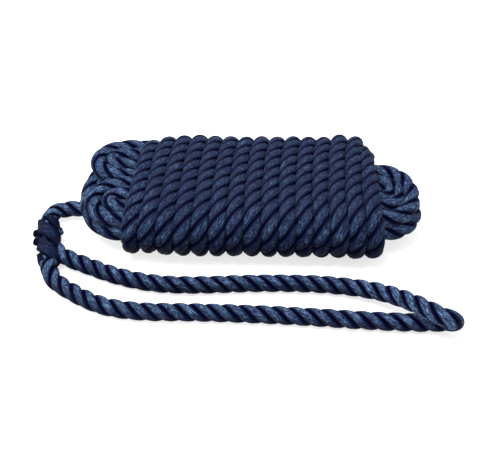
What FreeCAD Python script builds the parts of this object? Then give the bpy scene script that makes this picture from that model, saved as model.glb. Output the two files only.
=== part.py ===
"""A three-strand dock line with a spliced eye, made up as a wrapped hank.

The rope lies folded in long runs along X.  Turns of its own rope are wound round the runs,
the bights of the runs stand out of both ends of the winding, and the spliced eye lies on the
floor in front of it.  Lengths are millimetres.  The origin is the centre of the flat base of
the winding, X runs along the hank, Y away from the eye and Z up.
"""
import math
import os

import FreeCAD
import Part
import Sketcher

V = FreeCAD.Vector

# ---------------------------------------------------------------- driving dimensions
SIZES = [
    ("rope_dia", 12.7, "rope, across the three strands"),
    ("turn_count", 15, "turns wound round the runs"),
    ("turn_pitch", 12.45, "from one turn to the next"),
    ("core_width", 87.6, "hole of the winding, along Y"),
    ("core_height", 23.5, "hole of the winding, along Z"),
    ("coil_corner", 22.0, "outer corner radius of the winding"),
    ("fit_gap", 0.3, "from the winding to what passes through it"),
    ("left_reach", 36.5, "left bights, past the winding"),
    ("left_width", 86.0, "left bights, along Y"),
    ("left_shift", 3.0, "middle of the left bights, along Y"),
    ("left_shoulder", 2.5, "straight side of the left bights before their round end"),
    ("right_reach", 34.5, "right bights, past the winding"),
    ("right_width", 66.0, "right bights, along Y"),
    ("right_shift", -8.0, "middle of the right bights, along Y"),
    ("right_shoulder", 4.5, "straight side of the right bights before their round end"),
    ("bight_round", 7.0, "rounding of the bights' top and bottom edges"),
    ("splice_swell", 3.5, "how much thicker than the rope the splice is at most"),
    ("splice_end_swell", 0.7, "how much thicker than the rope it is where the legs part"),
    ("strand_dia", 6.2, "one of the three strands"),
    ("tail_stand", 3.2, "tucked strand end, past the splice"),
    ("seal_length", 2.4, "melted tip of the bitter end"),
    ("seal_taper", 1.5, "how much smaller than the rope the melted tip ends, in radius"),
]

# The free stretches' corner points, chosen by hand, one by one.  Their Z is the lift above
# the height at which the rope lies on the floor.
LEAD_ROUTE = [V(-112, 0.5, 7), V(-123, -1.6, 4.9), V(-134, -2.6, 3.4), V(-144.5, -2.2, 2.4),
              V(-153, -5, 2.1)]
EYE_ROUTE = [V(-145, -46, 2.4), V(-134, -53.5, 1.4), V(-118, -59.5, 0.2), V(-97, -68.5, 0),
             V(-70, -75.3, 0), V(-40, -76.2, 0), V(-5, -73.7, 0), V(35, -72.8, 0),
             V(65, -75.2, 0.3), V(86, -82, 3.6), V(100, -92.6, 9.6), V(111, -104, 15.1),
             V(122.5, -115, 18.1), V(131.5, -115, 14.1), V(133.9, -110, 6.1),
             V(127.5, -105.6, 0), V(112, -106.4, 0), V(78, -105.2, 0), V(40, -102.6, 0),
             V(0, -100.8, 0), V(-40, -100, 0), V(-75, -100.4, 0), V(-98, -97.2, 0),
             V(-115, -90, 0), V(-127, -82.6, 0), V(-138, -75.6, 0)]

# The splice is a straight spindle.  Its two ends lie this far above the floor-lying splice.
SPLICE_TOP = V(-156.8, -13.5, 0.3)
SPLICE_THROAT = V(-146.5, -58, 0.9)
UPPER_LEG_SHARE = 0.46       # where on the splice's axis the eye's upper leg leaves it
LOWER_LEG_RUN = 11           # straight run of the lower leg out of the splice's end

# The last turn doesn't close: it slants off the winding's far shoulder, and the bitter end
# lies on the floor behind the hank.  Its Y is counted from the winding's far face.
END_ROUTE = [V(92.5, -8, 13), V(89.5, 1.5, 9), V(84, 11, 5), V(75.5, 18.5, 1.8),
             V(64, 23.5, 0), V(49.5, 25.5, 0), V(33.5, 25, 0)]

FILLET_SHARE = 0.45          # part of the shorter run that an arc's tangent length takes
TURN_LIMIT = 1e-4            # radians: below this a corner is no turn

doc = FreeCAD.newDocument("dock_line")
sheet = doc.addObject("Spreadsheet::Sheet", "Sizes")
for row, (alias, value, note) in enumerate(SIZES, start=1):
    sheet.set("A%d" % row, note)
    sheet.set("B%d" % row, str(value))
    sheet.setAlias("B%d" % row, alias)
doc.recompute()
size = {alias: float(sheet.get(alias)) for alias, _, _ in SIZES}

lying_rope = V(0, 0, size["rope_dia"] / 2)
lying_splice = V(0, 0, (size["rope_dia"] + size["splice_swell"]) / 2)
splice_top, splice_throat = SPLICE_TOP + lying_splice, SPLICE_THROAT + lying_splice
splice_axis = splice_throat - splice_top
lead_route = [point + lying_rope for point in LEAD_ROUTE] + [splice_top]
eye_route = [splice_top + splice_axis * UPPER_LEG_SHARE]
eye_route += [point + lying_rope for point in EYE_ROUTE]
eye_route += [splice_throat + V(splice_axis).normalize() * LOWER_LEG_RUN, splice_throat]
far_face = V(0, size["core_width"] / 2 + size["rope_dia"], 0)
end_route = [point + lying_rope + far_face for point in END_ROUTE]


# ---------------------------------------------------------------- sketch helpers
def base_plane(body, role):
    """The body's own origin plane with this role."""
    return [f for f in body.Origin.OriginFeatures if f.Role == role][0]


def new_body(name, plane, sketch_name="Profile"):
    """A body with an empty sketch on one of its origin planes."""
    body = doc.addObject("PartDesign::Body", name)
    body.Label = name
    sketch = body.newObject("Sketcher::SketchObject", name + sketch_name)
    sketch.AttachmentSupport = [(base_plane(body, plane), "")]
    sketch.MapMode = "FlatFace"
    return body, sketch


def driven(sketch, kind, *refs, value, name, rule):
    """A dimension of the sketch that an expression on the sheet drives."""
    sketch.addConstraint(Sketcher.Constraint(kind, *refs, value))
    sketch.renameConstraint(sketch.ConstraintCount - 1, name)
    sketch.setExpression("Constraints." + name, rule)


def rounded_box(sketch, name, half_u, half_v, radius, rules):
    """A centred rectangle with four round corners, driven by (width, height, radius) rules."""
    first = sketch.GeometryCount
    u, v = half_u - radius, half_v - radius
    corners = [(u, v, 0), (-u, v, 90), (-u, -v, 180), (u, -v, 270)]
    for cu, cv, start in corners:
        circle = Part.Circle(V(cu, cv, 0), V(0, 0, 1), radius)
        arc = Part.ArcOfCircle(circle, math.radians(start), math.radians(start + 90))
        sketch.addGeometry(arc, False)
    sides = [((u, half_v), (-u, half_v)), ((-half_u, v), (-half_u, -v)),
             ((-u, -half_v), (u, -half_v)), ((half_u, -v), (half_u, v))]
    for (au, av), (bu, bv) in sides:
        sketch.addGeometry(Part.LineSegment(V(au, av, 0), V(bu, bv, 0)), False)
    for i in range(4):
        arc, side, following = first + i, first + 4 + i, first + (i + 1) % 4
        sketch.addConstraint(Sketcher.Constraint("Tangent", arc, 2, side, 1))
        sketch.addConstraint(Sketcher.Constraint("Tangent", side, 2, following, 1))
        if i:
            sketch.addConstraint(Sketcher.Constraint("Equal", first, arc))
    sketch.addConstraint(Sketcher.Constraint("Horizontal", first + 4))
    sketch.addConstraint(Sketcher.Constraint("Symmetric", first + 4, 1, first + 6, 1, -1, 1))
    driven(sketch, "DistanceX", first + 5, 1, first + 7, 2, value=2 * half_u,
           name=name + "_width", rule=rules[0])
    driven(sketch, "DistanceY", first + 6, 1, first + 4, 2, value=2 * half_v,
           name=name + "_height", rule=rules[1])
    driven(sketch, "Radius", first, value=radius, name=name + "_radius", rule=rules[2])


# ---------------------------------------------------------------- the winding
def make_winding():
    """All the wrapping turns as one sleeve with a hole for the runs, standing on its base."""
    body, sketch = new_body("wrapping_turns", "YZ_Plane")
    body.setExpression("Placement.Base.z", "Sizes.core_height / 2 + Sizes.rope_dia")
    half_hole = (size["core_width"] / 2, size["core_height"] / 2)
    rounded_box(sketch, "outer", half_hole[0] + size["rope_dia"],
                half_hole[1] + size["rope_dia"], size["coil_corner"],
                ("Sizes.core_width + 2 * Sizes.rope_dia",
                 "Sizes.core_height + 2 * Sizes.rope_dia", "Sizes.coil_corner"))
    rounded_box(sketch, "hole", half_hole[0], half_hole[1],
                size["coil_corner"] - size["rope_dia"],
                ("Sizes.core_width", "Sizes.core_height", "Sizes.coil_corner - Sizes.rope_dia"))
    pad = body.newObject("PartDesign::Pad", "WindingPad")
    pad.Profile = sketch
    pad.Midplane = True
    pad.setExpression("Length", "Sizes.turn_count * Sizes.turn_pitch")
    return body


def make_runs():
    """The folded runs inside the winding as one bar, a fit gap smaller than its hole."""
    body, sketch = new_body("hank_runs", "YZ_Plane")
    body.setExpression("Placement.Base.z", "Sizes.core_height / 2 + Sizes.rope_dia")
    gap = size["fit_gap"]
    rounded_box(sketch, "bar", size["core_width"] / 2 - gap, size["core_height"] / 2 - gap,
                size["coil_corner"] - size["rope_dia"] - gap,
                ("Sizes.core_width - 2 * Sizes.fit_gap",
                 "Sizes.core_height - 2 * Sizes.fit_gap",
                 "Sizes.coil_corner - Sizes.rope_dia - Sizes.fit_gap"))
    pad = body.newObject("PartDesign::Pad", "RunsPad")
    pad.Profile = sketch
    pad.Midplane = True
    pad.setExpression("Length", "Sizes.turn_count * Sizes.turn_pitch")
    return body


# ---------------------------------------------------------------- the bights
def make_bights(name, side, end):
    """The bights past one end of the winding: a slab whose plan is a square-backed D.

    side is -1 at the left end and 1 at the right one, and end names its sizes in the sheet.
    """
    body, sketch = new_body(name, "XY_Plane")
    body.setExpression("Placement.Base.x",
                       "%d * Sizes.turn_count * Sizes.turn_pitch / 2" % side)
    body.setExpression("Placement.Base.y", "Sizes.%s_shift" % end)
    body.setExpression("Placement.Base.z", "Sizes.rope_dia + Sizes.fit_gap")
    reach, half = size[end + "_reach"], size[end + "_width"] / 2
    radius = reach - size[end + "_shoulder"]
    flat = half - radius
    if side > 0:
        arcs = [(reach - radius, flat, 0, 90), (reach - radius, -flat, 270, 360)]
    else:
        arcs = [(radius - reach, flat, 90, 180), (radius - reach, -flat, 180, 270)]
    for cx, cy, start, stop in arcs:
        circle = Part.Circle(V(cx, cy, 0), V(0, 0, 1), radius)
        arc = Part.ArcOfCircle(circle, math.radians(start), math.radians(stop))
        sketch.addGeometry(arc, False)
    tip, shoulder = side * reach, side * (reach - radius)
    for a, b in (((0, half), (shoulder, half)), ((0, -half), (shoulder, -half)),
                 ((0, half), (0, -half)), ((tip, flat), (tip, -flat))):
        sketch.addGeometry(Part.LineSegment(V(a[0], a[1], 0), V(b[0], b[1], 0)), False)
    top_arc, low_arc, top, low, back, front = range(6)
    top_ends, low_ends = ((2, 1), (1, 2)) if side > 0 else ((1, 2), (2, 1))
    sketch.addConstraint(Sketcher.Constraint("Tangent", top_arc, top_ends[0], top, 2))
    sketch.addConstraint(Sketcher.Constraint("Tangent", top_arc, top_ends[1], front, 1))
    sketch.addConstraint(Sketcher.Constraint("Tangent", low_arc, low_ends[0], low, 2))
    sketch.addConstraint(Sketcher.Constraint("Tangent", low_arc, low_ends[1], front, 2))
    sketch.addConstraint(Sketcher.Constraint("Coincident", top, 1, back, 1))
    sketch.addConstraint(Sketcher.Constraint("Coincident", low, 1, back, 2))
    sketch.addConstraint(Sketcher.Constraint("Symmetric", back, 1, back, 2, -1, 1))
    sketch.addConstraint(Sketcher.Constraint("Horizontal", top))
    sketch.addConstraint(Sketcher.Constraint("Equal", top_arc, low_arc))
    driven(sketch, "Distance", back, value=2 * half, name="width", rule="Sizes.%s_width" % end)
    driven(sketch, "Distance", front, 1, back, value=reach, name="reach",
           rule="Sizes.%s_reach" % end)
    driven(sketch, "Radius", top_arc, value=radius, name="corner",
           rule="Sizes.%s_reach - Sizes.%s_shoulder" % (end, end))
    pad = body.newObject("PartDesign::Pad", name + "Pad")
    pad.Profile = sketch
    pad.setExpression("Length", "Sizes.core_height - 2 * Sizes.fit_gap")
    doc.recompute()
    rims = ["Edge%d" % (i + 1) for i, edge in enumerate(pad.Shape.Edges) if is_rim(edge, pad)]
    rounding = body.newObject("PartDesign::Fillet", name + "Rounding")
    rounding.Base = (pad, rims)
    rounding.setExpression("Radius", "Sizes.bight_round")
    return body


def is_rim(edge, pad):
    """True for an edge of the slab's top or bottom face that isn't on its square back."""
    box = edge.BoundBox
    flat = box.ZLength < 1e-6
    on_back = box.XLength < 1e-6 and abs(box.YLength - pad.Shape.BoundBox.YLength) < 1e-6
    return flat and not on_back


# ---------------------------------------------------------------- tubes along a route
def route_wire(name, points):
    """Straight runs joined by tangent arcs, each arc as large as its two runs allow."""
    edges, start, radii = [], points[0], []
    for before, corner, after in zip(points, points[1:], points[2:]):
        inward, outward = corner - before, after - corner
        turn = inward.getAngle(outward)
        if turn < TURN_LIMIT:
            continue
        tangent = FILLET_SHARE * min(inward.Length, outward.Length)
        radius = tangent / math.tan(turn / 2)
        radii.append(radius)
        a = corner - inward.normalize() * tangent
        b = corner + outward.normalize() * tangent
        towards = ((a + b) * 0.5 - corner).normalize()
        middle = corner + towards * (radius / math.cos(turn / 2) - radius)
        edges.append(Part.LineSegment(start, a).toShape())
        edges.append(Part.Arc(a, middle, b).toShape())
        start = b
    edges.append(Part.LineSegment(start, points[-1]).toShape())
    wire = Part.Wire(edges)
    print("%s: route %.1f mm, arc radii %s mm" % (
        name, wire.Length, ", ".join("%.0f" % r for r in radii)))
    return wire


def make_tube(name, points):
    """The rope's round outline swept along a route."""
    wire = route_wire(name, points)
    spine = doc.addObject("Part::Feature", name + "_spine")
    spine.Shape = wire
    ring = doc.addObject("Part::Circle", name + "_section")
    ring.setExpression("Radius", "Sizes.rope_dia / 2")
    along = points[1] - points[0]
    ring.Placement = FreeCAD.Placement(points[0], FreeCAD.Rotation(V(0, 0, 1), along))
    sweep = doc.addObject("Part::Sweep", name + "_tube")
    sweep.Sections = [ring]
    sweep.Spine = (spine, ["Edge%d" % (i + 1) for i in range(len(wire.Edges))])
    sweep.Solid = True
    doc.recompute()
    section = math.pi * (size["rope_dia"] / 2) ** 2
    print("%s: tube %.0f mm3, section times length %.0f mm3" % (
        name, sweep.Shape.Volume, section * wire.Length))
    return sweep


def cut_away(name, base, tool):
    """What is left of base outside tool, so that the two meet face to face."""
    cut = doc.addObject("Part::Cut", name)
    cut.Label = name
    cut.Base = base
    cut.Tool = tool
    return cut


# ---------------------------------------------------------------- splice and rope end
def make_splice():
    """The spliced body: a spindle, as thick as the rope at its top and thickest midway."""
    axis = splice_axis
    body, sketch = new_body("eye_splice", "XZ_Plane")
    body.Placement = FreeCAD.Placement(splice_top, FreeCAD.Rotation(V(0, 0, 1), axis))
    thick = ("(Sizes.rope_dia + Sizes.splice_swell) / 2", lying_splice.z)
    parting = ("(Sizes.rope_dia + Sizes.splice_end_swell) / 2",
               (size["rope_dia"] + size["splice_end_swell"]) / 2)
    stations = [(0, "Sizes.rope_dia / 2", lying_rope.z), (0.35, *thick), (0.75, *thick),
                (1, *parting)]
    outline = [(0, 0)] + [(r, share * axis.Length) for share, _, r in stations]
    outline += [(0, axis.Length)]
    for i, (a, b) in enumerate(zip(outline, outline[1:] + outline[:1])):
        sketch.addGeometry(Part.LineSegment(V(a[0], a[1], 0), V(b[0], b[1], 0)), False)
        if i:
            sketch.addConstraint(Sketcher.Constraint("Coincident", i - 1, 2, i, 1))
    last = len(outline) - 1
    sketch.addConstraint(Sketcher.Constraint("Coincident", last, 2, 0, 1))
    sketch.addConstraint(Sketcher.Constraint("Coincident", 0, 1, -1, 1))
    sketch.addConstraint(Sketcher.Constraint("Vertical", last))
    sketch.addConstraint(Sketcher.Constraint("Horizontal", 0))
    sketch.addConstraint(Sketcher.Constraint("Horizontal", last - 1))
    for i, (share, rule, radius) in enumerate(stations):
        driven(sketch, "DistanceX", -1, 1, i, 2, value=radius, name="radius%d" % i, rule=rule)
        if share:
            place = share * axis.Length
            sketch.addConstraint(Sketcher.Constraint("DistanceY", -1, 1, i, 2, place))
    spin = body.newObject("PartDesign::Revolution", "SpliceRevolution")
    spin.Profile = sketch
    spin.ReferenceAxis = (sketch, ["V_Axis"])
    spin.Angle = 360
    return body


def make_strand_ends(splice):
    """The three tucked strands' cut ends, standing a little out of the splice."""
    axis = splice_axis
    across = V(axis.y, -axis.x, 0).normalize()
    ends = []
    for i, (share, side, lift) in enumerate(((0.40, 1, 0.12), (0.42, -1, 0.1), (0.62, 1, 0.3))):
        end = doc.addObject("Part::Cylinder", "strand_end_%d" % (i + 1))
        end.setExpression("Radius", "Sizes.strand_dia / 2")
        end.setExpression("Height", "(Sizes.rope_dia + Sizes.splice_swell) / 2"
                                    " + Sizes.tail_stand")
        outwards = across * side + V(0, 0, lift)
        end.Placement = FreeCAD.Placement(splice_top + axis * share,
                                          FreeCAD.Rotation(V(0, 0, 1), outwards))
        ends.append(end)
    group = doc.addObject("Part::Compound", "strand_end_group")
    group.Links = ends
    return cut_away("strand_ends", group, splice)


def make_sealed_tip(tube_end, way):
    """The bitter end's last bit, its strands melted into one short tapering lump."""
    tip = doc.addObject("Part::Cone", "sealed_tip")
    tip.Label = "sealed_tip"
    tip.setExpression("Radius1", "Sizes.rope_dia / 2")
    tip.setExpression("Radius2", "Sizes.rope_dia / 2 - Sizes.seal_taper")
    tip.setExpression("Height", "Sizes.seal_length")
    tip.Placement = FreeCAD.Placement(tube_end, FreeCAD.Rotation(V(0, 0, 1), way))
    return tip


# ---------------------------------------------------------------- the whole line
winding = make_winding()
runs = make_runs()
left = make_bights("left_bights", -1, "left")
right = make_bights("right_bights", 1, "right")
splice = make_splice()
free_lead = cut_away("lead_from_bights", make_tube("lead", lead_route), left)
lead = cut_away("lead", free_lead, splice)
eye = cut_away("eye", make_tube("eye", eye_route), splice)
strand_ends = make_strand_ends(splice)
bitter_end = cut_away("bitter_end", make_tube("bitter_end", end_route), winding)
sealed_tip = make_sealed_tip(end_route[-1], end_route[-1] - end_route[-2])
doc.recompute()

nodes = [winding, runs, left, right, lead, splice, strand_ends, eye, bitter_end, sealed_tip]

for thing in doc.Objects:
    if "Invalid" in thing.State or "Error" in thing.State:
        raise RuntimeError("%s did not build: %s" % (thing.Name, thing.State))
for node in nodes:
    if node.Shape.isNull() or not node.Shape.isValid() or not node.Shape.Solids:
        raise RuntimeError("%s has no valid solid" % node.Label)

os.makedirs("parts", exist_ok=True)
for node in nodes:
    node.Shape.exportStep("parts/%s.step" % node.Label)
    box = node.Shape.optimalBoundingBox(False)
    print("%-15s %d solid(s), x %.1f..%.1f  y %.1f..%.1f  z %.1f..%.1f  %.0f mm3" % (
        node.Label, len(node.Shape.Solids), box.XMin, box.XMax, box.YMin, box.YMax,
        box.ZMin, box.ZMax, node.Shape.Volume))
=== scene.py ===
# %% [markdown]
# # A three-strand dock line, made up as a wrapped hank
#
# A dock line is a single rope: three strands of navy nylon, laid up right-handed, with an eye
# spliced in one end and the other end melted so that it can't fray.  Here it is folded into
# long runs, and its own turns are wound round them.  Nothing on it is a separate fitting, so
# the whole look has to come from one thing done well: rope.  Each stretch is the same strand
# recipe carried along a different line, and this file builds up to it step by step.

import bpy
import numpy as np
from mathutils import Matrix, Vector


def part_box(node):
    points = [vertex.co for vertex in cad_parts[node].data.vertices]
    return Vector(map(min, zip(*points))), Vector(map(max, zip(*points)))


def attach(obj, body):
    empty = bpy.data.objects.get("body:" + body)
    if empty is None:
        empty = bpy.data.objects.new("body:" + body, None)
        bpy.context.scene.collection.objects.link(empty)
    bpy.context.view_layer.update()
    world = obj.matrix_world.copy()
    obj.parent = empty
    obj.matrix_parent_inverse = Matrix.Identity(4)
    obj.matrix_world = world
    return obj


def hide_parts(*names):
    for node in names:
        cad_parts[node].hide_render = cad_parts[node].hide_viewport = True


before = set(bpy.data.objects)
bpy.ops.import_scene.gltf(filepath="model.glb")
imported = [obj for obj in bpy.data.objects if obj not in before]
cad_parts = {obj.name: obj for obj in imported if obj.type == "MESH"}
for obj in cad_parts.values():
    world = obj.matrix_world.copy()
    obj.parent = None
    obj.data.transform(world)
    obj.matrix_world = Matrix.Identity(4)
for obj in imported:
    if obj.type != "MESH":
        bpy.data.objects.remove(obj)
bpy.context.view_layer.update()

# %% [markdown]
# ## The camera
#
# The hank is looked down on at about 45 degrees from a short distance, so its near side is
# clearly larger than its far side.  The camera comes first: everything after it is judged
# through it.  It is turned by asking Blender for the rotation that points its own -Z axis
# along the view direction, which avoids guessing three Euler angles.

# %% The camera
CAMERA_PLACE = Vector((0.004, -0.3955, 0.3814))
CAMERA_AIM = Vector((-0.0026, -0.0171, 0.0029))
camera = bpy.data.objects.new("camera", bpy.data.cameras.new("camera"))
camera.data.sensor_width = 36.0
camera.data.lens = 50.4
camera.data.clip_start = 0.01
camera.location = CAMERA_PLACE
camera.rotation_mode = "QUATERNION"
camera.rotation_quaternion = (CAMERA_AIM - CAMERA_PLACE).to_track_quat("-Z", "Y")
bpy.context.scene.collection.objects.link(camera)
bpy.context.scene.camera = camera
print("camera", round((CAMERA_AIM - CAMERA_PLACE).length, 3), "m away")

# %% [markdown]
# ## The rope's own sizes
#
# All lengths in the routes below are millimetres, because a rope is thought of that way, and
# MM turns them into Blender's metres once, at the very end.  A three-strand rope is described
# by its diameter and its lay, the length in which a strand goes once round.  This one is laid
# hard, at 2.65 diameters.  The lay also divides a turn of the winding into very nearly 22
# crests, so neighbouring turns are in step and their grooves join into long diagonals.

# %% The rope's sizes
MM = 0.001
ROPE = 12.7                        # diameter over the three strands
LAY = 33.6                         # one strand once round the rope
STRANDS = 3
FLOOR_LIFT = ROPE / 2              # height of the middle of a rope that lies on the floor
far_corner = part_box("wrapping_turns")[1]
WINDING_END = far_corner.x / MM    # the winding reaches from minus this to this
WINDING_FAR = far_corner.y / MM
WINDING_TOP = far_corner.z / MM
print("winding", WINDING_END, WINDING_FAR, WINDING_TOP, "mm")

# %% [markdown]
# ## From a few points to a smooth line
#
# A rope's line is a NURBS spline through space: a handful of control points pull it into
# shape, and it never kinks.  Blender can hand back the points along such a curve if the curve
# has no thickness, and everything else is measured from those.  The curve itself is thrown
# away again at once.


# %% A spline's points
def spline_points(name, control, smoothness=12):
    """Points along the order 3 NURBS spline with these control points, in millimetres."""
    curve = bpy.data.curves.new(name, "CURVE")
    curve.dimensions = "3D"
    curve.resolution_u = smoothness
    spline = curve.splines.new("NURBS")
    spline.points.add(len(control) - 1)
    spline.points.foreach_set("co", np.column_stack([control, np.ones(len(control))]).ravel())
    spline.order_u = 3
    spline.use_endpoint_u = True
    holder = bpy.data.objects.new(name, curve)
    mesh = bpy.data.meshes.new_from_object(holder)
    line = np.empty(3 * len(mesh.vertices))
    mesh.vertices.foreach_get("co", line)
    bpy.data.meshes.remove(mesh)
    bpy.data.objects.remove(holder)
    bpy.data.curves.remove(curve)
    return line.reshape(-1, 3)


bend = spline_points("bend", [(0, 0, 0), (10, 0, 0), (10, 10, 0)])
print("a bend drawn with 3 points comes back as", len(bend))

# %% [markdown]
# ## Even steps
#
# The spline's own points bunch up where it bends.  A strand's twist has to follow the length
# of rope that has gone by, so the points are spread evenly, and each one's distance from the
# start is kept: the strands, the yarns and the streaks in the nylon are all measured by it.


# %% Points at even steps
def evenly(line, step):
    """The line with its points about step apart, and how far along it each of them is."""
    along = np.concatenate([[0], np.cumsum(np.linalg.norm(np.diff(line, axis=0), axis=1))])
    at = np.linspace(0, along[-1], int(along[-1] / step) + 2)
    return np.stack([np.interp(at, along, line[:, axis]) for axis in range(3)], axis=1), at


bend, bend_along = evenly(bend, 1.0)
print("the bend is %.2f mm long, in steps of %.2f mm" % (bend_along[-1], bend_along[1]))

# %% [markdown]
# ## Directions that don't spin
#
# A strand circles its line, so every point needs two directions across the line to circle in.
# If that pair spun at a corner, the strands would gain or lose twist there, which is the most
# common flaw in modelled rope.  So each pair is compared with the one before it, and the spin
# that is found is taken off.


# %% Unspun frames
def unit(vectors):
    """Each row divided by its own length."""
    return vectors / np.linalg.norm(vectors, axis=-1, keepdims=True)


def dots(a, b):
    """The dot product of each row of a with the same row of b."""
    return (a * b).sum(axis=-1)


def unspun_frames(line):
    """The line's direction at each point, and two unit vectors across it that never spin.

    First comes a pair made from one fixed guide direction.  Moving a crosswise vector from one
    point to the next by the smallest turn shows how much that pair spins there, and the
    running sum of those small angles, taken off again, leaves a pair that doesn't spin.
    """
    ahead = unit(np.gradient(line, axis=0))
    guide = np.eye(3)[np.abs(ahead).mean(axis=0).argmin()]
    first = unit(np.cross(ahead, guide))
    second = np.cross(ahead, first)
    a, b = ahead[:-1], ahead[1:]
    share = dots(first[:-1], b) / (1 + dots(a, b))
    moved = first[:-1] - share[:, None] * (a + b)
    spin = np.arctan2(dots(moved, second[1:]), dots(moved, first[1:]))
    angle = np.concatenate([[0], np.cumsum(spin)])[:, None]
    return (ahead, first * np.cos(angle) + second * np.sin(angle),
            second * np.cos(angle) - first * np.sin(angle))


print("at the bend's end the rope points", unspun_frames(bend)[0][-1].round(2))

# %% [markdown]
# ## A strand and its yarns
#
# Cut a laid rope across and each strand is an oval.  Each strand is itself sixteen yarns
# twisted the other way, so that on the crest of the strand the yarns run almost along the
# rope.  That is real relief, not paint, and costs only two columns of points a yarn if the
# columns themselves follow the yarns: every other column stands proud.  The stubs and the
# tucks of the splice use the same ovals along other lines.

# %% An oval tube with yarns
YARNS = 16
COLUMNS = 2 * YARNS
YARN_RELIEF = 0.15                 # how far a yarn stands out of the strand
YARN_TWIST = 42.0                  # a yarn goes once round its strand in this length


def oval_grid(middles, outward, sideways, deep, wide, along, phase):
    """An oval tube on a grid of (rings, columns, 3), and how near each point is to its crest.

    In the plane of outward and sideways the outline is an ellipse, deep outward and wide
    sideways, with every other column sunk by the yarn relief.  The columns turn once in each
    yarn twist, so they follow the yarns.
    """
    column = 2 * np.pi * np.arange(COLUMNS) / COLUMNS
    angle = column[None, :] - 2 * np.pi * along[:, None] / YARN_TWIST + phase
    relief = np.where(np.arange(COLUMNS) % 2, -YARN_RELIEF, 0)[None, :]
    out = (np.reshape(deep, (-1, 1)) + relief) * np.cos(angle)
    across = (np.reshape(wide, (-1, 1)) + relief) * np.sin(angle)
    grid = (middles[:, None] + out[..., None] * outward[:, None]
            + across[..., None] * sideways[:, None])
    return grid, (1 + np.cos(angle)) / 2


print("a strand has", YARNS, "yarns on", COLUMNS, "columns")

# %% [markdown]
# ## Three strands round one line
#
# A strand's middle lies about a quarter of the rope's diameter from the rope's centre.  Where
# the rope is wound tight the strands are pressed flat and wide, and the grooves between them
# are shallow; where it lies free they are rounder.  One number goes from 0 for free to 1 for
# wound tight, and the nylon reads it again: rope wound tighter gets more painted shade and
# weaker painted highlights.

# %% A laid strand
STRAND_RADIUS = (0.262, 0.248)     # of its middle round the rope's: free, and pressed
STRAND_HALF_WIDTH = (0.295, 0.345)                   # all four in rope diameters


def strand_grid(line, along, frames, number, phase, press_and_shade, lay):
    """One strand of a rope.  Its middle circles the line once a lay, right-handed."""
    turn = (2 * np.pi * (along / lay + number / STRANDS) + phase)[:, None]
    outward = frames[1] * np.cos(turn) + frames[2] * np.sin(turn)
    sideways = frames[2] * np.cos(turn) - frames[1] * np.sin(turn)
    radius = ROPE * np.interp(press_and_shade, (0, 1), STRAND_RADIUS)
    deep = ROPE / 2 - radius
    wide = ROPE * np.interp(press_and_shade, (0, 1), STRAND_HALF_WIDTH)
    return oval_grid(line + radius * outward, outward, sideways, deep, wide, along, number)


print("a free strand is %.1f by %.1f mm, a pressed one %.1f by %.1f mm" % (
    ROPE * (1 - 2 * STRAND_RADIUS[0]), 2 * ROPE * STRAND_HALF_WIDTH[0],
    ROPE * (1 - 2 * STRAND_RADIUS[1]), 2 * ROPE * STRAND_HALF_WIDTH[1]))

# %% [markdown]
# ## From grids to a mesh
#
# A grid of points becomes a tube by joining each ring to the next with quads, and a fan of
# triangles round one middle point closes each end.  Several strands go into one mesh, because
# one rope is one thing to move about.  The UV map holds millimetres along the rope and one
# turn round the strand, unbroken at the seam, and three attributes keep what the nylon needs:
# how near the crest a point is, which strand it belongs to, and how hard the rope is pressed.

# %% Tubes as a mesh
CAP_HEIGHT = 0.4                   # crest value at the middle of a closed end


def tube_faces(rings, columns):
    """Point numbers of a tube's quads and of the triangles that close its two ends."""
    ring, column = np.meshgrid(np.arange(rings - 1), np.arange(columns), indexing="ij")
    here, ahead = ring * columns + column, ring * columns + (column + 1) % columns
    quads = np.stack([here, ahead, ahead + columns, here + columns], axis=-1).reshape(-1, 4)
    rim = np.arange(columns)
    rim_ahead = (rim + 1) % columns
    start, last = rings * columns, (rings - 1) * columns
    return quads, np.concatenate([
        np.stack([np.full(columns, start), rim_ahead, rim], axis=1),
        np.stack([np.full(columns, start + 1), last + rim, last + rim_ahead], axis=1)])


def tube_uvs(rings, columns, along):
    """U is the distance along the tube and V the turn round it, for each corner of a face."""
    i, j = np.meshgrid(np.arange(rings - 1), np.arange(columns), indexing="ij")
    i, j = i.ravel(), j.ravel()
    quads = np.stack([np.stack([along[i + step], (j + round_step) / columns], axis=1)
                      for step, round_step in ((0, 0), (0, 1), (1, 1), (1, 0))], axis=1)
    rim = np.arange(columns)
    turn = np.stack([(rim + 0.5) / columns, (rim + 1) / columns, rim / columns], axis=1)
    caps = [np.stack([np.full((columns, 3), end), v], axis=2)
            for end, v in ((along[0], turn), (along[-1], turn[:, [0, 2, 1]]))]
    return np.concatenate([quads.reshape(-1, 2)] + [cap.reshape(-1, 2) for cap in caps])


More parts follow.
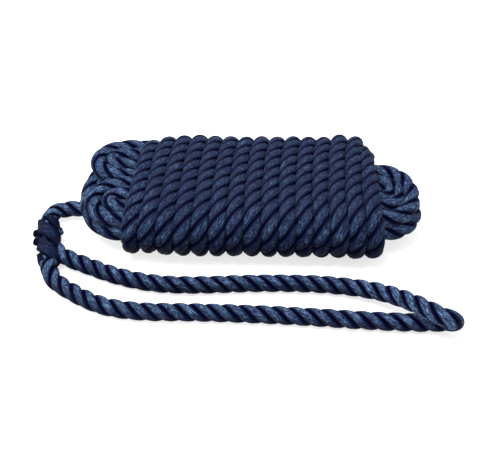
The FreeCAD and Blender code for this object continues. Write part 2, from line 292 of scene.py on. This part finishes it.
def tube_mesh(name, grids, heights, along, strand_numbers, press_and_shade=0.0):
    """One object of closed tubes, one per grid, with the UV map and the three attributes."""
    rings, columns = grids[0].shape[:2]
    size = rings * columns + 2
    quads, caps = tube_faces(rings, columns)
    points, faces = [], []
    for order, grid in enumerate(grids):
        points += [grid.reshape(-1, 3), grid[0].mean(axis=0)[None], grid[-1].mean(axis=0)[None]]
        faces += (quads + order * size).tolist() + (caps + order * size).tolist()
    mesh = bpy.data.meshes.new(name)
    mesh.from_pydata((np.concatenate(points) * MM).tolist(), [], faces)
    uvs = np.tile(tube_uvs(rings, columns, along), (len(grids), 1))
    mesh.uv_layers.new(name="yarns").data.foreach_set("uv", uvs.ravel())
    stored = {"crest": np.concatenate([np.append(height, [CAP_HEIGHT] * 2) for height in heights]),
              "strand": np.repeat(np.array(strand_numbers, float), size),
              "press_and_shade": np.full(len(mesh.vertices), press_and_shade)}
    for label, values in stored.items():
        mesh.attributes.new(label, "FLOAT", "POINT").data.foreach_set("value", values)
    mesh.polygons.foreach_set("use_smooth", np.ones(len(mesh.polygons), bool))
    piece = bpy.data.objects.new(name, mesh)
    bpy.context.scene.collection.objects.link(piece)
    return piece


print("ten rings of a strand make", sum(len(kind) for kind in tube_faces(10, COLUMNS)), "faces")

# %% [markdown]
# ## A piece of rope
#
# With those helpers a piece of rope is three strands in one mesh.  Turns that lie hard against
# each other are also widened a little along the hank, so that no gap shows between them.  Each
# piece then keeps its length of rope, in metres, and is attached to the root body.

# %% Rope, and what is said about it
RING_STEP = 1.8                    # from one ring of points to the next
rope_pieces = []


def rope(name, line, along, frames, phase, press_and_shade, spread=0.0, lay=LAY):
    """A piece of three-strand rope along a line whose lengths and frames are known.

    Spread widens it along X by that share, as turns that lie pressed together are widened.
    """
    made = [strand_grid(line, along, frames, number, phase, press_and_shade, lay)
            for number in range(STRANDS)]
    grids = [grid + spread * (grid - line[:, None]) * (1, 0, 0) for grid, height in made]
    heights = [height for grid, height in made]
    piece = tube_mesh(name, grids, heights, along, range(STRANDS), press_and_shade)
    piece["rope_length"] = float(along[-1] - along[0]) * MM
    rope_pieces.append(piece)
    print(name, "%.0f mm of rope, %d faces" % (along[-1] - along[0], len(piece.data.polygons)))
    return piece


def declare(piece):
    """Attaches the piece to the root body."""
    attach(piece, "root")


print("rings of points are %.1f mm apart, %.0f in a lay" % (RING_STEP, LAY / RING_STEP))

# %% [markdown]
# ## The lead, the eye and the splice's line
#
# The rope leaves the hank under its left bights, turns sharply into the splice and goes on as
# the eye's upper leg.  At the far tip the limp rope folds over itself and comes back as the
# lower leg, whose end is spliced in.  A loop that somebody laid down by hand has no formula, so
# its points were placed one at a time.  Their third number is the lift over the height at which
# the rope lies on the floor.

# %% The eye's route
LEAD_ROUTE = [(-112, 0.5, 7), (-123, -1.6, 4.9), (-134, -2.6, 3.4), (-144.5, -2.2, 2.4),
              (-153, -5, 2.1)]
EYE_ROUTE = [(-145, -46, 2.4), (-134, -53.5, 1.4), (-118, -59.5, 0.2), (-97, -68.5, 0),
             (-70, -75.3, 0), (-40, -76.2, 0), (-5, -73.7, 0), (35, -72.8, 0),
             (65, -75.2, 0.3), (86, -82, 3.6), (100, -92.6, 9.6), (111, -104, 15.1),
             (122.5, -115, 18.1), (131.5, -115, 14.1), (133.9, -110, 6.1),
             (127.5, -105.6, 0), (112, -106.4, 0), (78, -105.2, 0), (40, -102.6, 0),
             (0, -100.8, 0), (-40, -100, 0), (-75, -100.4, 0), (-98, -97.2, 0),
             (-115, -90, 0), (-127, -82.6, 0), (-138, -75.6, 0)]
SPLICE_TOP = np.array((-156.8, -13.5, 9.0))
SPLICE_THROAT = np.array((-146.5, -58, 9.4))
splice_axis = SPLICE_THROAT - SPLICE_TOP
print("the splice is %.0f mm long" % np.linalg.norm(splice_axis))

# %% [markdown]
# The eye's line goes on inside the splice at both ends, so that no end of it can be seen.  Its
# three strands are hardly pressed, since nothing but its own weight holds it down.

# %% The eye's rope
UPPER_LEG_SHARE = 0.46             # where on the splice's axis the upper leg leaves it
LOWER_LEG_RUN = 11                 # the lower leg runs this far in line with the splice
EYE_PHASE = 0.0
EYE_PRESS = 0.25


def lifted(route):
    """The route's points with their lift turned into a height."""
    return np.array(route, float) + (0, 0, FLOOR_LIFT)


eye_control = np.vstack([
    lifted(LEAD_ROUTE), SPLICE_TOP, SPLICE_TOP + UPPER_LEG_SHARE * splice_axis,
    lifted(EYE_ROUTE), SPLICE_THROAT + LOWER_LEG_RUN * unit(splice_axis), SPLICE_THROAT,
    SPLICE_THROAT - LOWER_LEG_RUN * unit(splice_axis)])
eye_line, eye_along = evenly(spline_points("eye", eye_control), RING_STEP)
eye_piece = rope("eye_rope", eye_line, eye_along, unspun_frames(eye_line), EYE_PHASE, EYE_PRESS)
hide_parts("lead", "eye")

# %% [markdown]
# ## The splice
#
# To splice an eye, the rope's end is opened and its three strands are tucked back into the
# standing part, over one strand and under the next, against the lay.  So the tucks are three
# more strands that wind left-handed round the same axis.  Each one meets a standing strand
# every third of a turn between the two, and its distance from the axis swings out and in once
# for every two it meets: over, under.  The tucks are thinned towards the top, where half of
# their yarns were cut away; the cut halves stick out as short blunt stubs.

# %% The splice's tucks
TUCK_STEPS = 64
TUCK_LAY = 58.0                    # a tuck goes once round the splice in this length
TUCK_BEGIN, TUCK_END = 1.07, 0.03  # shares of the axis, from past the throat to the top
TUCK_PHASE = 0.5
TUCK_RADIUS = 5.5                  # of its middle round the axis
TUCK_WEAVE = 0.25                  # and how far that swings out and in
TUCK_DEEP, TUCK_WIDE = 2.7, 6.1    # half its depth and half its width
TUCK_TAPER = 0.4                   # share of the axis over which it thins out
TUCK_ROUNDING = 0.09               # share over which each end closes
SPLICE_PRESS = 0.8
crosswise = unit(np.cross(splice_axis, (0, 0, 1)))
upward = unit(np.cross(crosswise, splice_axis))


def tuck(number):
    """One tucked strand, from past the throat to the top of the splice: grid, crest, length."""
    share = np.linspace(TUCK_BEGIN, TUCK_END, TUCK_STEPS)
    travelled = (TUCK_BEGIN - share) * np.linalg.norm(splice_axis)
    turn = (2 * np.pi * (-travelled / TUCK_LAY + number / STRANDS) + TUCK_PHASE)[:, None]
    meeting = 2 * np.pi * travelled * (1 / TUCK_LAY + 1 / LAY)
    full = np.clip((share - 0.02) / TUCK_TAPER, 0, 1) ** 0.5
    to_end = np.minimum(TUCK_BEGIN - share, share - TUCK_END)
    rounded = np.clip(to_end / TUCK_ROUNDING, 0, 1) ** 0.5
    size = (0.85 + 0.2 * full) * (0.45 + 0.55 * rounded)
    radius = TUCK_RADIUS + TUCK_WEAVE * np.cos(1.5 * meeting)
    radius = radius * (0.9 + 0.1 * full) * (0.6 + 0.4 * rounded)
    out = crosswise * np.cos(turn) + upward * np.sin(turn)
    side = upward * np.cos(turn) - crosswise * np.sin(turn)
    middles = SPLICE_TOP + share[:, None] * splice_axis + radius[:, None] * out
    grid, crest = oval_grid(middles, out, side, TUCK_DEEP * size, TUCK_WIDE * size,
                            travelled, number)
    return grid, crest, travelled


tucks = [tuck(number) for number in range(STRANDS)]
splice = tube_mesh("splice_tucks", [made[0] for made in tucks], [made[1] for made in tucks],
                   tucks[0][2], range(STRANDS), SPLICE_PRESS)
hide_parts("eye_splice")
print("splice", len(splice.data.polygons), "faces")

# %% [markdown]
# The stubs are the same ovals on short straight lines that leave the axis sideways and lean a
# little towards its top.  Each swells towards its cut end, because cut yarns spread, and then
# closes.

# %% The cut strand ends
STUBS = [(0.40, 1, 0.12), (0.42, -1, 0.10), (0.62, 1, 0.30)]      # share, side, lift
STUB_REACH = np.linspace(3.5, 11.2, 9)                            # of its rings, from the axis
STUB_SWELL = np.array([1, 1, 1, 1, 1.02, 1.05, 1.07, 0.98, 0.66])
STUB_RADIUS = 0.235 * ROPE
STUB_LEAN = 0.25


def stub(share, side, lift):
    """A short cut strand that leaves the splice's axis at this share, to this side."""
    way = unit(side * crosswise + lift * upward - STUB_LEAN * unit(splice_axis))
    first = unit(np.cross(way, upward))
    second = np.cross(way, first)
    middles = SPLICE_TOP + share * splice_axis + STUB_REACH[:, None] * way
    rows = (len(STUB_REACH), 1)
    size = STUB_RADIUS * STUB_SWELL
    return oval_grid(middles, np.tile(first, rows), np.tile(second, rows), size, size,
                     STUB_REACH, share)


stubs = [stub(*place) for place in STUBS]
cut_ends = tube_mesh("cut_ends", [made[0] for made in stubs], [made[1] for made in stubs],
                     STUB_REACH, range(len(STUBS)))
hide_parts("strand_ends")
for piece in (splice, cut_ends):
    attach(piece, "root")
    rope_pieces.append(piece)
declare(eye_piece)
print(len(stubs), "cut ends,", len(cut_ends.data.polygons), "faces")

# %% [markdown]
# ## The winding
#
# Fifteen turns lie side by side round the folded runs.  Seen from the end, each is a
# superellipse, fuller than an ellipse and softer than a rectangle, that rests on the floor.
# It is walked evenly by length, so that every station is the same stretch of rope.

# %% The outline of a turn
HALF_WIDE = WINDING_FAR - ROPE / 2 + 0.6             # of a turn's middle line, along Y
TALL = WINDING_TOP - ROPE + 1.0                      # of the same line, from lowest to highest
FULLNESS = 3.3                                       # 2 is an ellipse, more is squarer


def turn_outline(share, half_wide, tall):
    """Y and Z at a share of the way round a superellipse that rests on the floor.

    |y / half_wide| ^ n + |z / half_tall| ^ n = 1, walked evenly by length, from the middle of
    the near side up, over the top, down the far side and back underneath.
    """
    angle = np.linspace(0, 2 * np.pi, 1441)
    y = -half_wide * np.sign(np.cos(angle)) * np.abs(np.cos(angle)) ** (2 / FULLNESS)
    z = tall / 2 * np.sign(np.sin(angle)) * np.abs(np.sin(angle)) ** (2 / FULLNESS)
    gone = np.concatenate([[0], np.cumsum(np.hypot(np.diff(y), np.diff(z)))])
    at = share * gone[-1]
    return np.column_stack([np.interp(at, gone, y),
                            np.interp(at, gone, z) + tall / 2 + FLOOR_LIFT])


outline = turn_outline(np.linspace(0, 1, 500), HALF_WIDE, TALL)
print("a turn is %.0f mm round" % np.hypot(*np.diff(outline, axis=0).T).sum())

# %% [markdown]
# A turn moves along the hank as it goes round.  It leans most over the near shoulder and the
# far one, and least underneath, where the hank's weight holds it.  A few turns stand a little
# proud or lie a little slack, because no hand winds fifteen alike.

# %% A turn of the winding
TURNS = 15
TURN_POINTS = 28
TURN_STATIONS = [0, 0.15, 0.33, 0.5, 0.65, 0.83, 1]                 # shares of the way round
FIRST_TURN = [-87.9, -84.0, -82.5, -78.7, -77.2, -76.4, -75.41]     # its X at each station
TURN_PITCH = [12.49, 11.95, 12.1, 12.34, 12.4, 12.45, 12.49]        # from turn to turn there
TURN_GROWTH = {0: -3.0, 1: -0.6, 3: 0.5, 6: -0.4, 9: 0.3, 12: 1.6, 13: 0.6}


def winding_turn(number):
    """The control points of one turn, from the middle of the near side on."""
    share = np.arange(TURN_POINTS) / TURN_POINTS
    growth = TURN_GROWTH.get(number, 0.0)
    yz = turn_outline(share, HALF_WIDE + growth, TALL + growth)
    x = np.interp(share, TURN_STATIONS, FIRST_TURN) + number * np.interp(
        share, TURN_STATIONS, TURN_PITCH)
    return np.column_stack([x, yz])


whole_turns = [winding_turn(number) for number in range(TURNS - 1)]
print(len(whole_turns), "whole turns of", TURN_POINTS, "points")

# %% [markdown]
# The first turn comes up from under the hank, where its start is out of sight.  The last one
# doesn't close: it slants off the far shoulder, and the rope's bitter end lies on the floor
# behind the hank.  These points are placed one at a time again.

# %% The winding's line
FIRST_RUN = [(-87, 38, 12), (-88, 30, 7.5), (-88.5, 10, 6.4), (-88.5, -15, 6.4),
             (-88.5, -34, 7), (-88.3, -44.5, 12), (-88, -47.2, 18.5)]
LAST_TURN = [(87.0, -50.0, 20), (86.5, -49.6, 28), (85.5, -46.5, 35.5), (84.6, -39, 40.6),
             (84.4, -28, 42.6), (84.7, -15, 43), (85.0, -1, 42.7), (85.2, 13, 41.6),
             (85.0, 27, 39.4), (84.4, 37, 35.8), (84.4, 45, 30), (87.6, 49.4, 24)]
END_ROUTE = [(92.5, -8, 13), (89.5, 1.5, 9), (84, 11, 5), (75.5, 18.5, 1.8),
             (64, 23.5, 0), (49.5, 25.5, 0), (33.5, 25, 0)]       # Y from the winding's far side
end_route = lifted(END_ROUTE) + (0, WINDING_FAR, 0)
winding = np.vstack([FIRST_RUN] + whole_turns + [LAST_TURN, end_route])
winding_line, winding_along = evenly(spline_points("winding", winding, 8), RING_STEP)
winding_frames = unspun_frames(winding_line)
print("the winding takes %.0f mm of rope" % winding_along[-1])

# %% [markdown]
# Each piece stays small enough to handle, so the winding is cut into three.  The directions
# and lengths were worked out once for the whole line and are only shared out, with one ring of
# overlap, and so the strands run on across each cut.

# %% Cut the winding into three ropes
WINDING_PIECES = 3
WINDING_PHASE = 0.6
WINDING_PRESS = 1.0
WINDING_SPREAD = 0.07
ring_bounds = np.linspace(0, len(winding_line) - 1, WINDING_PIECES + 1).astype(int)
cuts = [slice(first, last + 1) for first, last in zip(ring_bounds, ring_bounds[1:])]
winding_pieces = [
    rope("winding_%d" % (number + 1), winding_line[cut], winding_along[cut],
         [way[cut] for way in winding_frames], WINDING_PHASE, WINDING_PRESS, WINDING_SPREAD)
    for number, cut in enumerate(cuts)]
for piece in winding_pieces[:-1]:
    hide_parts("wrapping_turns")
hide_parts("wrapping_turns", "bitter_end")

# %% [markdown]
# ## The melted end
#
# The bitter end's three strands were melted together into one lump.  A lump is a stack of
# rings whose radius follows a short profile, with a faint swelling over each strand.

# %% The melted end
LUMP_PROFILE = np.array([(-1.2, 5.2), (-0.6, 6.1), (0.2, 6.45), (1.0, 6.3), (1.7, 5.6),
                         (2.15, 4.2), (2.4, 2.0)])  # along the rope, radius
LUMP_SWELLING = 0.28
LUMP_CREST = 0.5


def lump_grid(centre, way, first, second):
    """The melted end: rings of a profile, with a three-fold swelling that dies out."""
    turn = 2 * np.pi * np.arange(COLUMNS) / COLUMNS
    dying = np.linspace(1, 0, len(LUMP_PROFILE))[:, None]
    radius = LUMP_PROFILE[:, 1:] + LUMP_SWELLING * dying * np.cos(STRANDS * turn)
    around = (first * np.cos(turn)[:, None] + second * np.sin(turn)[:, None])[None]
    return centre + LUMP_PROFILE[:, :1, None] * way + radius[..., None] * around


lump = lump_grid(winding_line[-1], *(way[-1] for way in winding_frames))
tip = tube_mesh("melted_end", [lump], [np.full(lump.shape[:2], LUMP_CREST)],
                np.arange(len(LUMP_PROFILE)) * 1.0, [0])
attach(tip, "root")
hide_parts("sealed_tip")
for piece, cut in zip(winding_pieces[:-1], cuts):
    declare(piece)
declare(winding_pieces[-1])
print("melted end", len(tip.data.polygons), "faces")

# %% [markdown]
# ## A bight
#
# Inside the winding the rope lies in long runs, in two layers, and at each end of the hank a
# run turns back in a bight.  A bight is half an oval that goes from one run's place to
# another's, and the winding hides whatever joins it to the next.  A sine to a power just
# below 1 makes the oval a little fuller than an ellipse, as stiff rope turns back.

# %% A bight's points
BIGHT_POINTS = 9
BIGHT_FULLNESS = 0.85


def bight(side, begin, end, reach, start=0.0):
    """Control points of a half oval past the winding's left (-1) or right (1) end.

    It goes from the run at begin to the run at end, both given as (Y, Z), and reaches that
    far past the winding's end face, measured to the rope's middle.  It starts that far past
    the face too, or inside it where start is negative.
    """
    angle = np.linspace(0, np.pi, BIGHT_POINTS)
    x = side * (WINDING_END + start + (reach - start) * np.sin(angle) ** BIGHT_FULLNESS)
    share = ((1 - np.cos(angle)) / 2)[:, None]
    return np.column_stack([x, (1 - share) * np.array(begin) + share * np.array(end)])


print("a bight of", BIGHT_POINTS, "points")

# %% [markdown]
# ## The folded runs
#
# Seven runs make the lower layer and eight the upper one.  At the left the upper layer shows
# two groups, the near one nested like the letter C inside another and the far one higher, and
# one wide bight of the lower layer reaches round behind them both.  At the right the bights
# are packed closer, round one small tight fold.  Each layer is one rope, so its bights are
# listed in the order in which the rope goes through them.

# %% The folded runs
FOLDED_LAY = 44.0                  # sharp folds open the lay
FOLDED_PHASE = 0.3
FOLDED_PRESS = 0.6
lower_layer = [
    [(-70, 27, 19)],
    bight(1, (28, 19), (41, 19), -8, -24), bight(-1, (38, 25), (-38, 18.6), 33),
    bight(1, (-34, 18.6), (17, 20), 27), bight(-1, (17, 22), (3, 21), 24),
    bight(1, (5, 20), (-21.5, 18.6), 15), bight(-1, (-25.5, 18.6), (-10, 18.6), 14),
    [(70, -8, 19)]]
upper_layer = [
    [(70, 41, 30)],
    bight(-1, (42, 35), (9, 32), 28), bight(1, (6.5, 31), (-19, 29), 14),
    bight(-1, (-23, 29.5), (-9.5, 31), 13), bight(1, (-11, 31), (-1.5, 33), 8),
    bight(-1, (2, 31), (-34.5, 28), 26), bight(1, (-31, 29), (19.5, 31.5), 24.5),
    bight(-1, (20.5, 33.5), (32, 34.5), 18),
    [(70, 30, 30)]]
for name, layer in (("lower_runs", lower_layer), ("upper_runs", upper_layer)):
    line, along = evenly(spline_points(name, np.vstack(layer)), RING_STEP)
    piece = rope(name, line, along, unspun_frames(line), FOLDED_PHASE, FOLDED_PRESS,
                 lay=FOLDED_LAY)
    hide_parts("hank_runs", "left_bights", "right_bights")
    declare(piece)
print("rope in all: %.2f m" % sum(piece.get("rope_length", 0) for piece in rope_pieces))

# %% [markdown]
# ## Writing a shader as arithmetic
#
# A material is a formula, and it reads best as one.  The class below wraps an output socket so
# that +, - and * between sockets and numbers make Math nodes.  Any other node comes from one
# method: the node's type, its settings, and then what goes into its sockets.


# %% A small shader language
class Wire:
    """An output socket that can be added, multiplied and fed to other nodes."""

    def __init__(self, tree, socket):
        self.tree = tree
        self.socket = socket

    def plug(self, value, socket):
        """Links a wire into a socket, or sets the socket to a plain value."""
        if isinstance(value, Wire):
            self.tree.links.new(value.socket, socket)
        else:
            socket.default_value = value

    def node(self, kind, settings, inputs, output=0):
        """A new node of this type, as a wire from one of its outputs."""
        made = self.tree.nodes.new(kind)
        for name, value in settings.items():
            setattr(made, name, value)
        for name, value in inputs.items():
            self.plug(value, made.inputs[name])
        return Wire(self.tree, made.outputs[output])

    def math(self, operation, a, b):
        """A Math node."""
        return self.node("ShaderNodeMath", {"operation": operation}, {0: a, 1: b})

    def __add__(self, other):
        return self.math("ADD", self, other)

    def __sub__(self, other):
        return self.math("SUBTRACT", self, other)

    def __rsub__(self, other):
        return self.math("SUBTRACT", other, self)

    def __mul__(self, other):
        return self.math("MULTIPLY", self, other)

    __radd__ = __add__
    __rmul__ = __mul__

    def ramp(self, low, high):
        """0 below low, 1 above high, and a smooth rise between them."""
        return self.node("ShaderNodeMapRange", {"interpolation_type": "SMOOTHSTEP"},
                         {"Value": self, "From Min": low, "From Max": high})

    def blend(self, dark, light):
        """The colour dark where the wire is 0, light where it is 1."""
        return self.node("ShaderNodeMix", {"data_type": "RGBA"},
                         {0: self, 6: dark, 7: light}, 2)

    def part(self, axis):
        """One of the three numbers of a vector."""
        return self.node("ShaderNodeSeparateXYZ", {}, {0: self}, axis)

    def vector(self, x, y, z):
        """Three numbers as one vector."""
        return self.node("ShaderNodeCombineXYZ", {}, {0: x, 1: y, 2: z})

    def noise(self, place, scale, detail=2.0, roughness=0.5):
        """Smooth random values at a place, about 0.5 on average."""
        return self.node("ShaderNodeTexNoise", {}, {
            "Vector": place, "Scale": scale, "Detail": detail, "Roughness": roughness})

    def attribute(self, name):
        """A value stored on the mesh."""
        return self.node("ShaderNodeAttribute", {"attribute_name": name}, {}, "Fac")

    def bump(self, height, strength, distance):
        """The surface's normal, tilted as if it had this relief."""
        return self.node("ShaderNodeBump", {}, {
            "Strength": strength, "Distance": distance, "Height": height})


def new_material(name):
    """An empty material: its Principled BSDF node, and a wire to start formulas from."""
    material = bpy.data.materials.new(name)
    material.use_nodes = True
    shader = material.node_tree.nodes["Principled BSDF"]
    print("material", name)
    return material, shader, Wire(material.node_tree, shader.outputs[0])


# %% [markdown]
# ## Navy nylon: the filaments, as painted highlights
#
# The nylon is painted nearly black in its grooves, as shade, and painted steel blue, as
# highlights, where its bright filaments would catch the light.  The light filaments are short
# streaks, so the noise behind them is stretched along the yarns: the UV map runs in millimetres
# along the rope and once round each strand, and the strand's number keeps two strands from
# wearing the same streaks.  A second, finer noise breaks the streaks into specks, and a third,
# broad one makes the painted highlights stronger in some stretches than others.

# %% Filaments
STREAKS_ALONG = 0.34               # noise steps in a millimetre along the yarns
STREAKS_ROUND = 38                 # and in one turn round a strand
STREAKS_BETWEEN = 7.3              # and from one strand to the next
navy, shader, wire = new_material("navy_nylon")
yarns = wire.node("ShaderNodeUVMap", {"uv_map": "yarns"}, {})
place = wire.node("ShaderNodeTexCoord", {}, {}, "Object")
on_yarns = wire.vector(yarns.part(0) * STREAKS_ALONG, yarns.part(1) * STREAKS_ROUND,
                       wire.attribute("strand") * STREAKS_BETWEEN)
streaks = wire.noise(on_yarns, 1.0, 3.0, 0.6)
specks = wire.noise(place, 1700.0, 2.0, 0.6)
patches = wire.noise(place, 55.0, 2.0)
# The streaks and specks mark where the painted highlights go; the same pattern makes those
# filaments a little glossier.
filament_glints = streaks.ramp(0.49, 0.72) * 0.7 + specks.ramp(0.46, 0.72) * 0.45
print("filaments take", len(navy.node_tree.nodes), "nodes")

# %% [markdown]
# ## Navy nylon: painted shade and highlights
#
# The painted highlights go only on the crests, never in the grooves, and fade near the floor,
# where the navy is painted darker too, as shade.  Rope that is wound tight gets weaker painted
# highlights and a deeper painted navy than rope that lies free, and its painted dark foot
# reaches higher.  The very top of the winding is painted an even, flatter navy with weaker
# highlights, for how the light falls on it.  Height is read from the Object coordinates,
# because every piece has its place in its mesh.

# %% Painted shade and highlights
crest = wire.attribute("crest")
# How hard the rope is pressed also sets its painted shade and how weak its painted highlights are.
press_and_shade = wire.attribute("press_and_shade")
height = place.part(2)
# Painted shade at the foot: the navy goes darker and the highlights fade near the floor, higher up
# on rope wound tight.
above_painted_foot_shade = height.ramp(0.001 + 0.012 * press_and_shade, 0.008 + 0.031 * press_and_shade)
# The top of the winding is painted flatter, with weaker painted highlights, for how the light
# falls on it.
painted_flat_top = press_and_shade * press_and_shade * height.ramp(0.039, 0.050)
# How strong the painted highlights are: weaker on rope wound tight and on the top of the winding.
painted_highlight_strength = 1.5 - 0.95 * press_and_shade - 0.25 * painted_flat_top
# Painted highlight: steel blue filaments on the crests, never in the grooves, fading near the
# floor.
painted_highlight = crest.ramp(0.55, 1.0) * filament_glints * (patches * 0.9 + 0.6) * painted_highlight_strength
painted_highlight = wire.math("MINIMUM", painted_highlight * (0.08 + 0.92 * above_painted_foot_shade), 1.0)
# Painted shade: the navy goes deeper in the grooves, near the floor and on rope wound tight.
out_of_painted_shade = crest.ramp(0.35, 0.95) * (1 - 0.3 * press_and_shade) * (0.15 + 0.85 * above_painted_foot_shade)
# Where the flatter navy is painted on the top of the winding, mostly on the crests.
painted_top_tone = crest.ramp(0.2, 0.8) * painted_flat_top * 0.85
print("with painted shade and highlights the nylon has", len(navy.node_tree.nodes), "nodes")

# %% [markdown]
# ## Navy nylon: colour, gloss and relief
#
# The masks above now choose between four blues: the navy of the dye, a deeper navy painted as
# shade, a flatter navy painted on the top of the winding, and steel blue painted as highlights.
# The filaments are a little glossier than the dyed yarn, and they stand out of it by a fraction
# of a millimetre, which is too fine for the mesh and is left to a bump.  Rope gives light back
# from deep between its fibres and hardly at all from a surface, so its specular level is low,
# and the sheen is only a trace.

# %% The nylon's colours
# NAVY is the dye; the deeper navy is painted shade.
NAVY_PAINTED_SHADE = (0.0004, 0.0006, 0.010, 1)
NAVY = (0.0026, 0.0042, 0.030, 1)
# A flatter navy painted on the top of the winding, for how the light falls there.
PAINTED_TOP_NAVY = (0.0075, 0.0092, 0.031, 1)
# Steel blue, painted as the highlight on bright filaments.
STEEL_PAINTED_HIGHLIGHT = (0.17, 0.29, 0.49, 1)
base = painted_top_tone.blend(out_of_painted_shade.blend(NAVY_PAINTED_SHADE, NAVY), PAINTED_TOP_NAVY)
wire.plug(painted_highlight.blend(base, STEEL_PAINTED_HIGHLIGHT), shader.inputs["Base Color"])
wire.plug(0.62 - 0.18 * filament_glints, shader.inputs["Roughness"])
wire.plug(wire.bump(streaks * 0.6 + specks * 0.4, 0.55, 0.0006), shader.inputs["Normal"])
shader.inputs["Sheen Weight"].default_value = 0.002
shader.inputs["Sheen Roughness"].default_value = 0.45
shader.inputs["Sheen Tint"].default_value = (0.55, 0.65, 0.9, 1)
shader.inputs["Specular IOR Level"].default_value = 0.03
for piece in rope_pieces:
    piece.data.materials.append(navy)
print("navy nylon on", len(rope_pieces), "pieces")

# %% [markdown]
# ## The melted end's finish
#
# Melted nylon loses its fibres: it sets glassy and almost black, with a few bubbles.

# %% The melted end's material
MELTED_DARK = (0.004, 0.005, 0.015, 1)
MELTED_PALE = (0.02, 0.024, 0.05, 1)
glassy, shader, wire = new_material("melted_nylon")
place = wire.node("ShaderNodeTexCoord", {}, {}, "Object")
bubbles = wire.noise(place, 900.0, 2.0)
wire.plug(bubbles.ramp(0.4, 0.8).blend(MELTED_DARK, MELTED_PALE), shader.inputs["Base Color"])
wire.plug(0.18 + 0.3 * bubbles, shader.inputs["Roughness"])
wire.plug(wire.bump(bubbles, 0.4, 0.0005), shader.inputs["Normal"])
tip.data.materials.append(glassy)

# %% [markdown]
# ## The floor
#
# The hank lies on a white floor, a plain square that is a hair lower than the rope, so that
# the two never share a surface.

# %% The floor
FLOOR_SPAN = 3.0
FLOOR_HEIGHT = -0.0003
floor_mesh = bpy.data.meshes.new("floor")
floor_mesh.from_pydata([(x * FLOOR_SPAN, y * FLOOR_SPAN, FLOOR_HEIGHT)
                        for x, y in ((-1, -1), (1, -1), (1, 1), (-1, 1))], [], [(0, 1, 2, 3)])
floor = bpy.data.objects.new("floor", floor_mesh)
bpy.context.scene.collection.objects.link(floor)
white, shader, wire = new_material("white_floor")
wire.plug((0.95, 0.95, 0.95, 1), shader.inputs["Base Color"])
wire.plug(0.9, shader.inputs["Roughness"])
floor_mesh.materials.append(white)

# %% [markdown]
# ## Light
#
# The key is a soft square nearly overhead, a little to the left: the upper flank of every
# strand is lit and the lower one falls off into navy, and this is what draws the lay.  Two
# lights that cast no shadow help it, one from the same place and one from behind.  Together
# they give the floor more light than the render can hold, so it stays pure white, and only
# the deepest part of the key's shadow, close to the rope, is seen.

# %% Light
KEY_PLACE = (-0.28, -0.16, 1.05)
FLANK_PLACE = (-0.10, 0.45, 0.95)


def area_light(name, place, size, power, shadows):
    """A square soft light of this size at place, turned towards the hank."""
    light = bpy.data.lights.new(name, "AREA")
    light.size = size
    light.energy = power
    light.use_shadow = shadows
    lamp = bpy.data.objects.new(name, light)
    lamp.location = place
    lamp.rotation_mode = "QUATERNION"
    lamp.rotation_quaternion = (-Vector(place)).to_track_quat("-Z", "Y")
    bpy.context.scene.collection.objects.link(lamp)
    print(name, power, "W")


area_light("key", KEY_PLACE, 0.45, 10, shadows=True)
area_light("fill", KEY_PLACE, 0.45, 5, shadows=False)
area_light("flank", FLANK_PLACE, 0.5, 5, shadows=False)
world = bpy.data.worlds.new("studio")
world.use_nodes = True
world.node_tree.nodes["Background"].inputs["Color"].default_value = (1, 1, 1, 1)
world.node_tree.nodes["Background"].inputs["Strength"].default_value = 0.55
bpy.context.scene.world = world
bpy.context.scene.view_settings.view_transform = "Standard"
